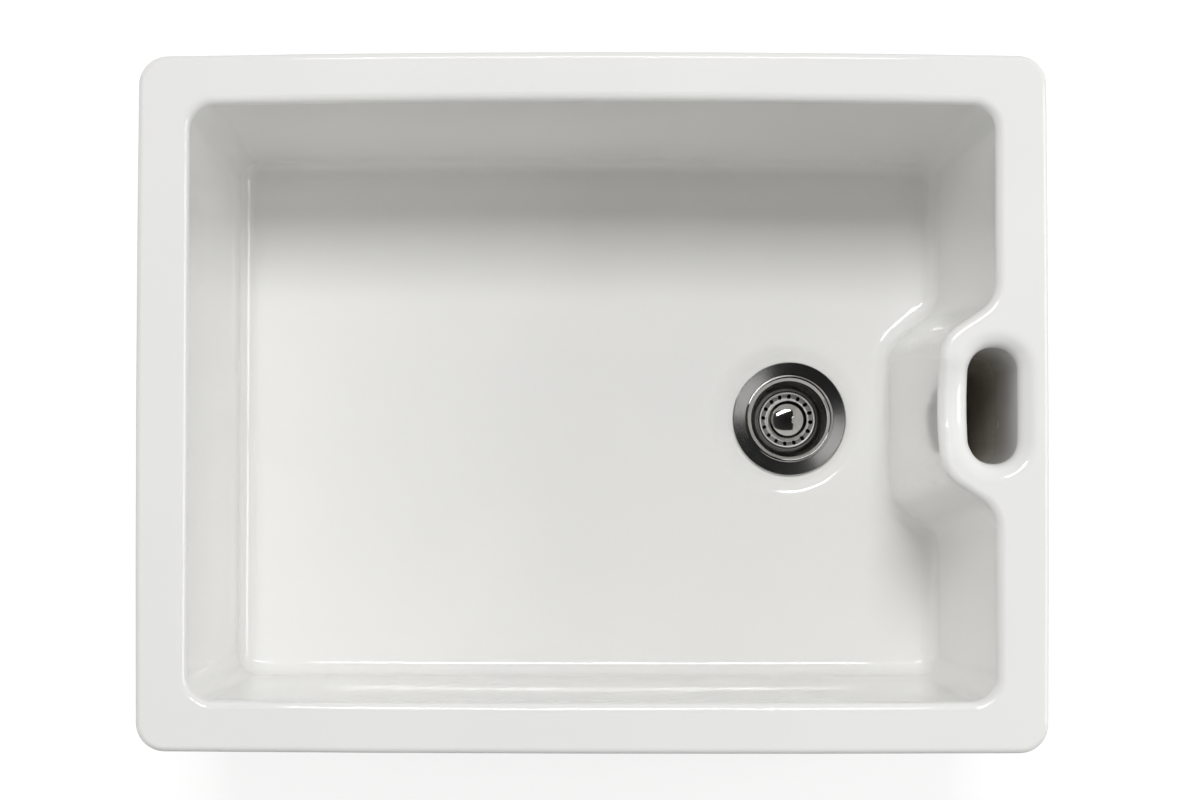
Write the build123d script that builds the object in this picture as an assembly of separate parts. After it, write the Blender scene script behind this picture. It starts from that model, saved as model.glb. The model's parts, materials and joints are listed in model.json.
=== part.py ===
from build123d import *
import math
import os

# A Belfast sink: a fireclay bowl with a weir overflow, and the slotted basket-strainer waste it drains by.
# Millimetres. The origin is the middle of the underside, +X runs to the weir end, +Y to the back, +Z up.

# How far apart two points of the drawing may be and still count as one
SAME = 0.01

# Fireclay bowl
LENGTH = 595.0
WIDTH = 458.0
HEIGHT = 255.0
END_WALL = 34.0
BACK_WALL = 32.0
FRONT_WALL = 33.5
BACK_CROWN = 3.0
FRONT_CROWN = 1.0
END_CROWN = 1.0
OUTER_CORNER = 19.0
INNER_CORNER = 16.0
WALL_LEAN = 4.0
FLOOR_HEIGHT = 42.0
FLOOR_FALL = 4.5
RIM_OUTER_ROUND = 4.0
RIM_INNER_ROUND = 5.5
FLOOR_ROUND = 12.0
BASE_ROUND = 4.0

# Weir overflow: a mouth in the boss on the right-hand wall, a shaft down it and a duct to the waste hole
WEIR_OFFSET = -2.0
MOUTH_DEPTH = 32.0
MOUTH_LENGTH = 76.0
MOUTH_CORNER = 15.0
MOUTH_ROUND = 12.0
MOUTH_WALL = 18.8
LIP_WIDTH = 20.0
LIP_DIP = 7.0
DISH_REACH = 30.0
DISH_ROUND = 25.0
BOSS_NOSE = 44.0
BOSS_FOOT = 68.0
BOSS_NOSE_SPREAD = 12.0
BOSS_FOOT_SPREAD = 17.0
BOSS_NOSE_ROUND = 25.0
BOSS_FOOT_ROUND = 22.0
DUCT_LEVEL = 14.0
DUCT_HEIGHT = 14.0
DUCT_WIDTH = 50.0

# Waste outlet in the floor
WASTE_FROM_END = 147.5
WASTE_HOLE = 63.0
RECESS_DEPTH = 3.0
RECESS_RADIUS = 56.0
RECESS_FLAT = 46.0
RECESS_ROUND = 15.0
UNDER_SEAT_DIAMETER = 90.0
UNDER_SEAT_DEPTH = 4.0

# Waste body: flange, funnel, bore, plug seat and 1 1/2 inch pipe-thread tail
FLANGE_DIAMETER = 85.0
FLANGE_EDGE = 2.4
FLANGE_THICK = 1.5
FLANGE_FALL = 1.0
SKIRT_WIDTH = 1.1
LIP_RADIUS = 31.2
LIP_RISE = 0.8
FUNNEL_TOP = 28.3
FUNNEL_WALL = 2.0
FUNNEL_DROP = 15.0
BORE = 43.4
BORE_DEPTH = 9.0
THROAT = 34.0
SEAT_DROP = 2.5
SEAT_THICK = 2.5
UPPER_TAIL_BORE = 38.4
TAIL_BORE = 40.0
THREAD_MAJOR = 47.8
THREAD_PITCH_DIAMETER = 46.3
TAIL_LENGTH = 34.0
SLOT_COUNT = 4
SLOT_WIDTH = 18.0
SLOT_HEIGHT = 6.5

# Washers and backnut that clamp the waste to the fireclay
WASHER_THICK = 1.5
BASE_WASHER_THICK = 3.5
BASE_WASHER_DIAMETER = 74.0
SLIP_WASHER_THICK = 1.0
SLIP_WASHER_INSET = 0.5
NUT_ACROSS_FLATS = 60.0
NUT_HEIGHT = 11.0
THREAD_GAP = 0.05
LOOSE_GAP = 0.4
NUT_CHAMFER = 30.0

# Stem guide and its snap ring inside the tail
GUIDE_TOP = -3.0
GUIDE_HUB_HEIGHT = 12.0
GUIDE_HUB_DIAMETER = 13.0
GUIDE_RING_DROP = 4.0
GUIDE_RING_HEIGHT = 5.0
GUIDE_RING_WALL = 2.0
GUIDE_ARMS = 3
GUIDE_ARM_WIDTH = 3.2
GUIDE_GAP = 0.1
CLIP_THICK = 1.2
CLIP_GROOVE_DEPTH = 0.9
CLIP_DEPTH = 2.2
CLIP_MOUTH = 11.0
CLIP_EAR = 2.2
CLIP_EAR_HOLE = 1.8

# Strainer plug
SEAL_DIAMETER = 37.6
SEAL_THICK = 4.2
SEAL_GAP = 0.3
PLATE_DIAMETER = 27.0
PLATE_THICK = 1.2
STEM_DIAMETER = 5.6
STEM_TIP = 4.0
STEM_THREAD = 4.1
STEM_THREAD_LENGTH = 10.0
STEM_NUT_FLATS = 9.0
STEM_NUT_HEIGHT = 4.0
FIT_GAP = 0.05
RING_WIRE = 1.1
RING_LEVEL = 8.0
RING_GAP = 0.1
BASKET_SHEET = 0.9
BASKET_RIM = 42.5
BASKET_BEAD = 1.9
BASKET_RISE = 6.1
BASKET_VALLEY = 16.0
BASKET_VALLEY_RISE = 2.7
BASKET_CREST = 14.8
BASKET_CREST_RISE = 4.1
BASKET_FLAT = 8.0
BASKET_BEND = 1.2
HOLE_COUNT = 16
HOLE_CIRCLE = 35.6
HOLE_WIDTH = 2.8
HOLE_LENGTH = 3.4
HOLE_TURN = 5.0
KNOB_FOOT = 13.0
KNOB_FOOT_HEIGHT = 1.2
KNOB_NECK = 8.4
KNOB_HEAD = 28.6
KNOB_HEIGHT = 17.0
KNOB_RIM = 2.6
KNOB_DOME = 6.0

# Places that follow from the sizes above
WASTE_X = LENGTH / 2 - WASTE_FROM_END
MOUTH_X = LENGTH / 2 - MOUTH_WALL - MOUTH_DEPTH / 2
BOSS_FACE = MOUTH_X - MOUTH_DEPTH / 2 - LIP_WIDTH
RECESS_LEVEL = FLOOR_HEIGHT - RECESS_DEPTH
FLANGE_LEVEL = RECESS_LEVEL + WASHER_THICK
FUNNEL_LEVEL = FLANGE_LEVEL - FUNNEL_DROP
SEAT_LEVEL = FUNNEL_LEVEL - BORE_DEPTH
THROAT_LEVEL = SEAT_LEVEL - SEAT_DROP
SEAT_SLOPE = SEAT_DROP / (BORE / 2 - THROAT / 2)
NUT_LEVEL = UNDER_SEAT_DEPTH - BASE_WASHER_THICK - SLIP_WASHER_THICK
TAIL_TOP = NUT_LEVEL - NUT_HEIGHT
TAIL_END = TAIL_TOP - TAIL_LENGTH
GUIDE_SHOULDER = GUIDE_TOP - GUIDE_RING_DROP
CLIP_LEVEL = GUIDE_SHOULDER - GUIDE_RING_HEIGHT
SEAL_BOTTOM = THROAT_LEVEL - PLATE_THICK / 2
SEAL_TOP = SEAL_BOTTOM + SEAL_THICK
BASKET_LEVEL = SEAL_TOP + BASKET_SHEET
STEM_END = GUIDE_TOP - GUIDE_HUB_HEIGHT - STEM_TIP
RING_PLACE = GUIDE_TOP - RING_LEVEL
GUIDE_HOLE = STEM_DIAMETER / 2 + RING_WIRE / 2 + RING_GAP


def near(value, target):
    """True where two coordinates are the same point of a drawing."""
    return abs(value - target) < SAME


def turned(points, rounds):
    """Solid turned about the waste's upright axis from a closed outline of (radius, height) corners."""
    outline = FilletPolyline(*points, radius=rounds, close=True)
    return Pos(WASTE_X, 0, 0) * revolve(Plane.XZ * make_face(outline), Axis.Z)


def ring(inner, outer, bottom, top, rounding=0.0):
    """Flat ring about the waste's axis."""
    points = [(inner, bottom), (outer, bottom), (outer, top), (inner, top)]
    return turned(points, [rounding] * len(points))


def hexagon(across_flats, bottom, height):
    """Hexagonal bar about the waste's axis with its corners turned off at both ends."""
    corner = across_flats / math.sqrt(3)
    bar = Pos(WASTE_X, 0, bottom) * extrude(RegularPolygon(corner, 6), height)
    flat = across_flats / 2
    chamfer = (corner - flat) * math.tan(math.radians(NUT_CHAMFER))
    blank = [(0, bottom), (flat, bottom), (corner, bottom + chamfer), (corner, bottom + height - chamfer),
             (flat, bottom + height), (0, bottom + height)]
    return bar & turned(blank, [0.0] * len(blank))


def outer_plan():
    """Plan of the bowl's outside: four sides that swell a little, with rounded corners."""
    end = LENGTH / 2 - END_CROWN
    back = WIDTH / 2 - BACK_CROWN
    front = FRONT_CROWN - WIDTH / 2
    middle = (back + front) / 2
    sides = [
        ThreePointArc((end, back), (0, WIDTH / 2), (-end, back)),
        ThreePointArc((-end, back), (-LENGTH / 2, middle), (-end, front)),
        ThreePointArc((-end, front), (0, -WIDTH / 2), (end, front)),
        ThreePointArc((end, front), (LENGTH / 2, middle), (end, back)),
    ]
    plan = make_face(sides)
    return fillet(plan.vertices(), OUTER_CORNER)


def bowl_plan(lean, level):
    """Plan of the bowl's inside at one level: walls leaned in by lean, the weir boss let into one end."""
    share = lean / WALL_LEAN
    end = LENGTH / 2 - END_WALL - lean
    back = WIDTH / 2 - BACK_CROWN - BACK_WALL - lean
    front = FRONT_CROWN + FRONT_WALL + lean - WIDTH / 2
    face = BOSS_FACE - lean
    nose = BOSS_NOSE + BOSS_NOSE_SPREAD * share
    foot = BOSS_FOOT + BOSS_FOOT_SPREAD * share
    sides = [
        Line((end, WEIR_OFFSET + foot), (end, back)),
        ThreePointArc((end, back), (0, back + BACK_CROWN), (-end, back)),
        Line((-end, back), (-end, front)),
        ThreePointArc((-end, front), (0, front - FRONT_CROWN), (end, front)),
        Line((end, front), (end, WEIR_OFFSET - foot)),
        Line((end, WEIR_OFFSET - foot), (face, WEIR_OFFSET - nose)),
        Line((face, WEIR_OFFSET - nose), (face, WEIR_OFFSET + nose)),
        Line((face, WEIR_OFFSET + nose), (end, WEIR_OFFSET + foot)),
    ]
    plan = make_face(sides)
    plan = fillet([v for v in plan.vertices() if near(v.Y, back) or near(v.Y, front)], INNER_CORNER)
    feet = [v for v in plan.vertices() if near(abs(v.Y - WEIR_OFFSET), foot) and near(v.X, end)]
    plan = fillet(feet, BOSS_FOOT_ROUND)
    shoulders = [v for v in plan.vertices() if near(abs(v.Y - WEIR_OFFSET), nose) and near(v.X, face)]
    plan = fillet(shoulders, BOSS_NOSE_ROUND)
    return Pos(0, 0, level) * plan


def bowl_space():
    """The space inside the bowl: leaned walls, a floor falling to the waste end, rounded floor edges."""
    space = loft([bowl_plan(0, HEIGHT), bowl_plan(WALL_LEAN, FLOOR_HEIGHT - FLOOR_FALL)], ruled=True)
    fall = FLOOR_FALL / LENGTH
    floor = Plane(origin=(WASTE_X, 0, FLOOR_HEIGHT), z_dir=(fall, 0, 1))
    space = split(space, bisect_by=floor, keep=Keep.TOP)
    return fillet(space.faces().sort_by(Axis.Z)[0].edges(), FLOOR_ROUND)


def weir_shaft():
    """The upright shaft behind the weir lip."""
    plan = RectangleRounded(MOUTH_DEPTH, MOUTH_LENGTH, MOUTH_CORNER)
    return Pos(MOUTH_X, WEIR_OFFSET, DUCT_LEVEL) * extrude(plan, HEIGHT)


def waste_recess():
    """The shallow dish in the floor that the waste flange sits in."""
    slope = (RECESS_RADIUS - RECESS_FLAT) / RECESS_DEPTH
    over = 2 * RECESS_DEPTH
    outline = [(0, RECESS_LEVEL), (RECESS_FLAT, RECESS_LEVEL),
               (RECESS_FLAT + slope * over, RECESS_LEVEL + over), (0, RECESS_LEVEL + over)]
    return turned(outline, [0.0] * len(outline))


def on_surface(edges, solids):
    """The edges whose middle lies on one of the given solids."""
    return [e for e in edges if min(s.distance_to(Vertex(e @ 0.5)) for s in solids) < SAME]


def sink_bowl():
    """The fireclay bowl in one piece, with its weir overflow and the hole for the waste."""
    block = extrude(outer_plan(), HEIGHT)
    dish_radius = (DISH_REACH ** 2 + LIP_DIP ** 2) / (2 * LIP_DIP)
    dish_x = BOSS_FACE + LIP_WIDTH / 2
    dish_z = HEIGHT - LIP_DIP + dish_radius
    bowl = block - Pos(dish_x, WEIR_OFFSET, dish_z) * Rot(0, 0, 90) * Sphere(dish_radius)
    crease = [e for e in bowl.edges().filter_by(GeomType.CIRCLE) if near(e.radius, DISH_REACH)]
    bowl = fillet(crease, DISH_ROUND)
    space = bowl_space()
    bowl -= space
    recess = waste_recess()
    bowl -= recess
    half_way = RECESS_LEVEL + RECESS_DEPTH / 2
    crease = [e for e in on_surface(bowl.edges(), [recess]) if (e @ 0.5).Z > half_way]
    bowl = fillet(crease, RECESS_ROUND)
    shaft = weir_shaft()
    bowl -= shaft
    duct_length = MOUTH_X - WASTE_X
    duct = Box(duct_length, DUCT_WIDTH, DUCT_HEIGHT, align=(Align.MIN, Align.CENTER, Align.MIN))
    bowl -= Pos(WASTE_X, 0, DUCT_LEVEL) * duct
    bowl -= Pos(WASTE_X, 0, 0) * Cylinder(WASTE_HOLE / 2, 2 * HEIGHT)
    bowl -= Pos(WASTE_X, 0, 0) * Cylinder(UNDER_SEAT_DIAMETER / 2, 2 * UNDER_SEAT_DEPTH)
    lowest = HEIGHT - 2 * LIP_DIP
    bowl = fillet(on_surface([e for e in bowl.edges() if (e @ 0.5).Z > lowest], [shaft]), MOUTH_ROUND)
    bowl = fillet(on_surface([e for e in bowl.edges() if (e @ 0.5).Z > lowest], [space]), RIM_INNER_ROUND)
    sides = block.faces().filter_by(Axis.Z, reverse=True)
    rim = [e for e in bowl.edges() if near((e @ 0.5).Z, HEIGHT)]
    bowl = fillet(on_surface(rim, sides), RIM_OUTER_ROUND)
    base = [e for e in bowl.edges() if near((e @ 0.5).Z, 0)]
    return fillet(on_surface(base, sides), BASE_ROUND)


def waste_body():
    """The chromed brass waste in one piece: flange, funnel, plug bore and seat, overflow slots, tail."""
    edge = FLANGE_DIAMETER / 2
    flange_top = FLANGE_LEVEL + FLANGE_THICK
    valley = LIP_RADIUS + FLANGE_THICK
    neck = FUNNEL_TOP + FUNNEL_WALL
    shank = THREAD_PITCH_DIAMETER / 2
    thread = THREAD_MAJOR / 2
    groove = TAIL_BORE / 2 + CLIP_GROOVE_DEPTH
    outline = [
        (edge, flange_top - FLANGE_EDGE), (edge, flange_top), (valley, flange_top - FLANGE_FALL),
        (LIP_RADIUS, flange_top - FLANGE_FALL + LIP_RISE), (FUNNEL_TOP, FLANGE_LEVEL - LIP_RISE),
        (BORE / 2, FUNNEL_LEVEL), (BORE / 2, SEAT_LEVEL), (THROAT / 2, THROAT_LEVEL),
        (THROAT / 2, THROAT_LEVEL - SEAT_THICK), (UPPER_TAIL_BORE / 2, THROAT_LEVEL - SEAT_THICK),
        (UPPER_TAIL_BORE / 2, GUIDE_SHOULDER), (TAIL_BORE / 2, GUIDE_SHOULDER), (TAIL_BORE / 2, CLIP_LEVEL),
        (groove, CLIP_LEVEL), (groove, CLIP_LEVEL - CLIP_THICK), (TAIL_BORE / 2, CLIP_LEVEL - CLIP_THICK),
        (TAIL_BORE / 2, TAIL_END), (thread, TAIL_END), (thread, TAIL_TOP), (shank, TAIL_TOP),
        (shank, FUNNEL_LEVEL - FUNNEL_WALL), (neck, FLANGE_LEVEL - FUNNEL_WALL), (neck, FLANGE_LEVEL),
        (edge - SKIRT_WIDTH, FLANGE_LEVEL), (edge - SKIRT_WIDTH, flange_top - FLANGE_EDGE),
    ]
    rounds = [0.0] * len(outline)
    rounds[1] = FLANGE_THICK / 2
    rounds[2] = FLANGE_THICK
    rounds[3] = FLANGE_THICK
    rounds[4] = FUNNEL_WALL
    rounds[5] = FUNNEL_WALL
    body = turned(outline, rounds)
    slot_level = THROAT_LEVEL - SEAT_THICK - SLOT_HEIGHT / 2
    slot = Box(THREAD_MAJOR, SLOT_WIDTH, SLOT_HEIGHT, align=(Align.MIN, Align.CENTER, Align.CENTER))
    slot = fillet(slot.edges().filter_by(Axis.X), SLOT_HEIGHT / 3)
    for turn in range(SLOT_COUNT):
        body -= Pos(WASTE_X, 0, slot_level) * Rot(0, 0, turn * 360 / SLOT_COUNT) * slot
    return body


def flange_washer():
    """Rubber washer between the waste flange and the recess in the floor."""
    outer = FLANGE_DIAMETER / 2 - SKIRT_WIDTH - LOOSE_GAP
    return ring(WASTE_HOLE / 2 + LOOSE_GAP, outer, RECESS_LEVEL, FLANGE_LEVEL)


def base_washer():
    """Thick rubber washer under the bowl."""
    inner = THREAD_PITCH_DIAMETER / 2 + LOOSE_GAP
    bottom = UNDER_SEAT_DEPTH - BASE_WASHER_THICK
    return ring(inner, BASE_WASHER_DIAMETER / 2, bottom, UNDER_SEAT_DEPTH, LOOSE_GAP)


def slip_washer():
    """Thin nylon washer that lets the backnut turn without dragging the rubber."""
    inner = THREAD_PITCH_DIAMETER / 2 + LOOSE_GAP
    outer = BASE_WASHER_DIAMETER / 2 - SLIP_WASHER_INSET
    return ring(inner, outer, NUT_LEVEL, NUT_LEVEL + SLIP_WASHER_THICK)


def backnut():
    """Brass hexagon nut that pulls the waste down on its washers."""
    nut = hexagon(NUT_ACROSS_FLATS, TAIL_TOP, NUT_HEIGHT)
    return nut - Pos(WASTE_X, 0, 0) * Cylinder(THREAD_PITCH_DIAMETER / 2 + THREAD_GAP, HEIGHT)


def stem_guide():
    """Moulded spider that guides the plug's stem in the middle of the tail."""
    hub_end = GUIDE_TOP - GUIDE_HUB_HEIGHT
    hub = ring(GUIDE_HOLE, GUIDE_HUB_DIAMETER / 2, hub_end, GUIDE_TOP, LOOSE_GAP)
    outer = TAIL_BORE / 2 - GUIDE_GAP
    inner = outer - GUIDE_RING_WALL
    guide = hub + ring(inner, outer, CLIP_LEVEL, GUIDE_SHOULDER)
    reach = (inner + outer) / 2
    arm = Box(reach, GUIDE_ARM_WIDTH, GUIDE_RING_HEIGHT, align=(Align.MIN, Align.CENTER, Align.MIN))
    arm -= Cylinder((GUIDE_HOLE + GUIDE_HUB_DIAMETER / 2) / 2, HEIGHT)
    for turn in range(GUIDE_ARMS):
        guide += Pos(WASTE_X, 0, CLIP_LEVEL) * Rot(0, 0, 90 + turn * 360 / GUIDE_ARMS) * arm
    return guide


def guide_clip():
    """Spring-steel snap ring that keeps the stem guide in the tail."""
    outer = TAIL_BORE / 2 + CLIP_GROOVE_DEPTH - GUIDE_GAP
    inner = outer - CLIP_GROOVE_DEPTH - CLIP_DEPTH
    clip = Circle(outer) - Circle(inner)
    clip -= Pos(outer, 0) * Rectangle(2 * outer, CLIP_MOUTH)
    ear_y = CLIP_MOUTH / 2 + CLIP_EAR
    ear_x = math.sqrt(inner ** 2 - ear_y ** 2) - CLIP_EAR / 2
    for side in (-1, 1):
        clip += Pos(ear_x, side * ear_y) * Circle(CLIP_EAR)
    for side in (-1, 1):
        clip -= Pos(ear_x, side * ear_y) * Circle(CLIP_EAR_HOLE / 2)
    return Pos(WASTE_X, 0, CLIP_LEVEL - CLIP_THICK) * extrude(clip, CLIP_THICK)


def plug_seal():
    """Rubber disc under the strainer, its edge coned to the plug seat."""
    cone = THROAT_LEVEL + SEAL_GAP * math.hypot(1, SEAT_SLOPE)
    edge = SEAL_DIAMETER / 2
    toe = THROAT / 2 - (cone - SEAL_BOTTOM) / SEAT_SLOPE
    shoulder = cone + (edge - THROAT / 2) * SEAT_SLOPE
    hole = STEM_DIAMETER / 2 + FIT_GAP
    outline = [(hole, SEAL_BOTTOM), (toe, SEAL_BOTTOM), (edge, shoulder), (edge, SEAL_TOP),
               (hole, SEAL_TOP)]
    return turned(outline, [0.0, 0.0, SEAL_GAP, 2 * SEAL_GAP, 0.0])


def seal_plate():
    """Stainless washer that backs the seal."""
    inner = STEM_DIAMETER / 2 + FIT_GAP
    return ring(inner, PLATE_DIAMETER / 2, SEAL_BOTTOM - PLATE_THICK, SEAL_BOTTOM, SEAL_GAP)


def stem_nut():
    """Small nut that draws knob, strainer, seal and plate together on the stem."""
    nut = hexagon(STEM_NUT_FLATS, SEAL_BOTTOM - PLATE_THICK - STEM_NUT_HEIGHT, STEM_NUT_HEIGHT)
    return nut - Pos(WASTE_X, 0, 0) * Cylinder(STEM_DIAMETER / 2 + FIT_GAP, HEIGHT)


def plug_stem():
    """Turned stem: a thread up into the knob, a shank through strainer and seal, a groove for the ring."""
    shank = STEM_DIAMETER / 2
    thread = STEM_THREAD / 2
    top = BASKET_LEVEL + STEM_THREAD_LENGTH
    groove = shank - RING_WIRE / 2
    half = RING_WIRE / 2 + GUIDE_GAP
    outline = [(0, STEM_END), (groove, STEM_END), (shank, STEM_END + RING_WIRE), (shank, RING_PLACE - half),
               (groove, RING_PLACE - half), (groove, RING_PLACE + half), (shank, RING_PLACE + half),
               (shank, BASKET_LEVEL), (thread, BASKET_LEVEL), (thread, top), (0, top)]
    return turned(outline, [0.0] * len(outline))


def stem_ring():
    """Rubber ring round the stem that grips the guide and holds the plug open or shut."""
    wire = Pos(STEM_DIAMETER / 2, RING_PLACE) * Circle(RING_WIRE / 2)
    return Pos(WASTE_X, 0, 0) * revolve(Plane.XZ * wire, Axis.Z)


def strainer_basket():
    """Pressed stainless strainer: dished middle, crest, perforated wall and rolled rim."""
    rim = BASKET_RIM / 2 - BASKET_BEAD / 2
    hole = STEM_DIAMETER / 2 + FIT_GAP
    upper = [(hole, 0), (BASKET_FLAT, 0), (BASKET_CREST, BASKET_CREST_RISE),
             (BASKET_VALLEY, BASKET_VALLEY_RISE), (rim, BASKET_RISE)]
    lower = [(r, z - BASKET_SHEET) for r, z in reversed(upper)]
    outline = [(r, z + BASKET_LEVEL) for r, z in upper + lower]
    bends = [0.0] + [BASKET_BEND] * 3 + [0.0]
    basket = turned(outline, bends + bends)
    bead = Pos(rim, BASKET_LEVEL + BASKET_RISE - BASKET_SHEET / 2) * Circle(BASKET_BEAD / 2)
    basket += Pos(WASTE_X, 0, 0) * revolve(Plane.XZ * bead, Axis.Z)
    slot = extrude(SlotOverall(HOLE_LENGTH, HOLE_WIDTH), BASKET_RISE)
    slot = Pos(HOLE_CIRCLE / 2, 0, BASKET_LEVEL) * slot
    for turn in range(HOLE_COUNT):
        basket -= Pos(WASTE_X, 0, 0) * Rot(0, 0, 90 - HOLE_TURN + turn * 360 / HOLE_COUNT) * slot
    return basket


def strainer_knob():
    """Turned knob with a wide domed head that the strainer is lifted and pushed by."""
    head = KNOB_HEAD / 2
    neck = KNOB_NECK / 2
    top = BASKET_LEVEL + KNOB_HEIGHT
    under = top - KNOB_DOME - KNOB_RIM
    dome = (head**2 + KNOB_DOME**2) / (2 * KNOB_DOME)
    hole = STEM_THREAD / 2 + FIT_GAP
    depth = BASKET_LEVEL + STEM_THREAD_LENGTH + FIT_GAP
    foot_top = BASKET_LEVEL + KNOB_FOOT_HEIGHT
    outline = [(hole, BASKET_LEVEL), (KNOB_FOOT / 2, BASKET_LEVEL), (KNOB_FOOT / 2, foot_top),
               (neck, foot_top + neck / 2), (neck, under - neck / 2), (head, under), (head, top - KNOB_DOME),
               (dome * KNOB_DOME / head, top), (0, top), (0, depth), (hole, depth)]
    rounds = [0.0] * len(outline)
    rounds[2] = KNOB_FOOT_HEIGHT / 2
    rounds[3] = neck / 2
    rounds[4] = neck / 2
    rounds[5] = KNOB_RIM / 3
    rounds[6] = KNOB_RIM / 2
    rounds[7] = dome - KNOB_RIM
    return turned(outline, rounds)


NODES = {
    "sink_bowl": sink_bowl,
    "waste_body": waste_body,
    "flange_washer": flange_washer,
    "base_washer": base_washer,
    "slip_washer": slip_washer,
    "backnut": backnut,
    "stem_guide": stem_guide,
    "guide_clip": guide_clip,
    "plug_seal": plug_seal,
    "seal_plate": seal_plate,
    "stem_nut": stem_nut,
    "plug_stem": plug_stem,
    "stem_ring": stem_ring,
    "strainer_basket": strainer_basket,
    "strainer_knob": strainer_knob,
}

os.makedirs("parts", exist_ok=True)
for name, make in NODES.items():
    piece = make()
    piece.label = name
    export_step(piece, f"parts/{name}.step")
    print(name, len(piece.solids()), "solid", round(piece.volume / 1000, 2), "cm3")
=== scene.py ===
# %% [markdown]
# # A Belfast sink in white fireclay
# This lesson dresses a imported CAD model: a glazed bowl with a weir overflow, and the basket-strainer
# waste that drains it. The CAD gives every size and place, so the lesson is about finishes, light and
# the two pieces that a turned profile draws better than the CAD mesh does.

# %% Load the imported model
import json
import math

import bmesh
import bpy
from mathutils import Matrix, Vector

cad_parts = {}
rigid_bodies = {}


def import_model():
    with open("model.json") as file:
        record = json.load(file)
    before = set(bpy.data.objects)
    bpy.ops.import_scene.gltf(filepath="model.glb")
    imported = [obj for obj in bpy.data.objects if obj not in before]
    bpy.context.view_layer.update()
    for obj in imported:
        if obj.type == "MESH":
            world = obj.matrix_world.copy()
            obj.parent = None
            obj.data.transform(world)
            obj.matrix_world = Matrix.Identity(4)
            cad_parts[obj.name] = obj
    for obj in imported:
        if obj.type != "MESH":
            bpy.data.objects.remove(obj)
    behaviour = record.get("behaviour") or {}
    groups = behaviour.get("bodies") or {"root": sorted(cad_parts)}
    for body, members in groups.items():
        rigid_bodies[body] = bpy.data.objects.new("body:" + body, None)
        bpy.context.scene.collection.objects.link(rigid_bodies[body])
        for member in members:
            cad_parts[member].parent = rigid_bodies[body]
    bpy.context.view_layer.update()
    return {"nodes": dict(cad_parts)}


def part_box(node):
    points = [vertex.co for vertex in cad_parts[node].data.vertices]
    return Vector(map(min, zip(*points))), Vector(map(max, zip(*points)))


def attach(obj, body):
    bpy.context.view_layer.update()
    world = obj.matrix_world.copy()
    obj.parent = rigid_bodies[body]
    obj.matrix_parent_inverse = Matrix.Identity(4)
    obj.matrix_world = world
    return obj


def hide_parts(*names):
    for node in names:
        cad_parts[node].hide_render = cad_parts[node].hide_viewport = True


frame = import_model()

nodes_of_sink = frame["nodes"]
print("pieces in the frame:", ", ".join(sorted(nodes_of_sink)))

# %% [markdown]
# ## The camera
# The sink is photographed from straight above, a little in front of its middle, so the back wall shows
# more than the front wall. A long lens keeps the four walls nearly upright, and a small lens shift
# centres the bowl without tilting the view. The numbers come from matching the edges of the rim and of
# the floor.

# %% Camera above the bowl
scene = bpy.context.scene
scene.view_settings.view_transform = "Standard"
camera_data = bpy.data.cameras.new("camera_above")
camera_data.sensor_width = 36.0
camera_data.lens = 65.03
camera_data.shift_x = 0.0410
camera_data.shift_y = 0.0739
camera = bpy.data.objects.new("camera_above", camera_data)
camera.location = (-0.0132, -0.0851, 1.6636)
camera.rotation_euler = [math.radians(turn) for turn in (1.152, 0.536, 0.074)]
scene.collection.objects.link(camera)
scene.camera = camera
print("camera at", tuple(round(v, 3) for v in camera.location), "lens", camera_data.lens)

# %% [markdown]
# ## Helpers for shader trees
# A finish is a small tree of nodes. These helpers add a node with its settings in one line, and chain
# sums, so that each finish below reads as a short recipe.

# %% Node helpers
def add(tree, kind, inputs=None, **settings):
    """A new node in the tree, with its settings and with numbers or links on its named inputs."""
    node = tree.nodes.new(kind)
    for key, value in settings.items():
        setattr(node, key, value)
    for key, value in (inputs or {}).items():
        if isinstance(value, bpy.types.NodeSocket):
            tree.links.new(value, node.inputs[key])
        else:
            node.inputs[key].default_value = value
    return node


def calc(tree, operation, *values):
    """One sum on sockets or numbers; gives the socket that holds the answer."""
    node = add(tree, "ShaderNodeMath", dict(enumerate(values)), operation=operation)
    return node.outputs[0]


def total(tree, start, *parts):
    """A starting value plus each pattern times its share."""
    for pattern, share in parts:
        start = calc(tree, "MULTIPLY_ADD", pattern, share, start)
    return start


def strongest(tree, first, second):
    """The stronger of two patterns, each given with its share."""
    return calc(tree, "MAXIMUM", calc(tree, "MULTIPLY", *first), calc(tree, "MULTIPLY", *second))


def ease(tree, value, low, high, to_low=0.0, to_high=1.0):
    """A smooth step: to_low at low and below, to_high at high and above."""
    span = {"Value": value, "From Min": low, "From Max": high, "To Min": to_low, "To Max": to_high}
    return add(tree, "ShaderNodeMapRange", span, interpolation_type="SMOOTHSTEP").outputs[0]


def tint(tree, share, first, second):
    """The first colour turning into the second as the share goes from 0 to 1."""
    node = add(tree, "ShaderNodeMix", {"Factor": share}, data_type="RGBA")
    for place, colour in ((6, first), (7, second)):
        if isinstance(colour, bpy.types.NodeSocket):
            tree.links.new(colour, node.inputs[place])
        else:
            node.inputs[place].default_value = (*colour, 1)
    return node.outputs[2]


def noise(tree, place, scale, detail=2.0, roughness=0.5):
    """Soft random values between 0 and 1 over the surface."""
    inputs = {"Vector": place, "Scale": scale, "Detail": detail, "Roughness": roughness}
    return add(tree, "ShaderNodeTexNoise", inputs).outputs["Fac"]


def bump(tree, height, distance, under=None, strength=1.0):
    """A bump of the given depth in metres, laid over another bump's normal where one is given."""
    inputs = {"Height": height, "Distance": distance, "Strength": strength}
    if under is not None:
        inputs["Normal"] = under
    return add(tree, "ShaderNodeBump", inputs).outputs["Normal"]


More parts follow.
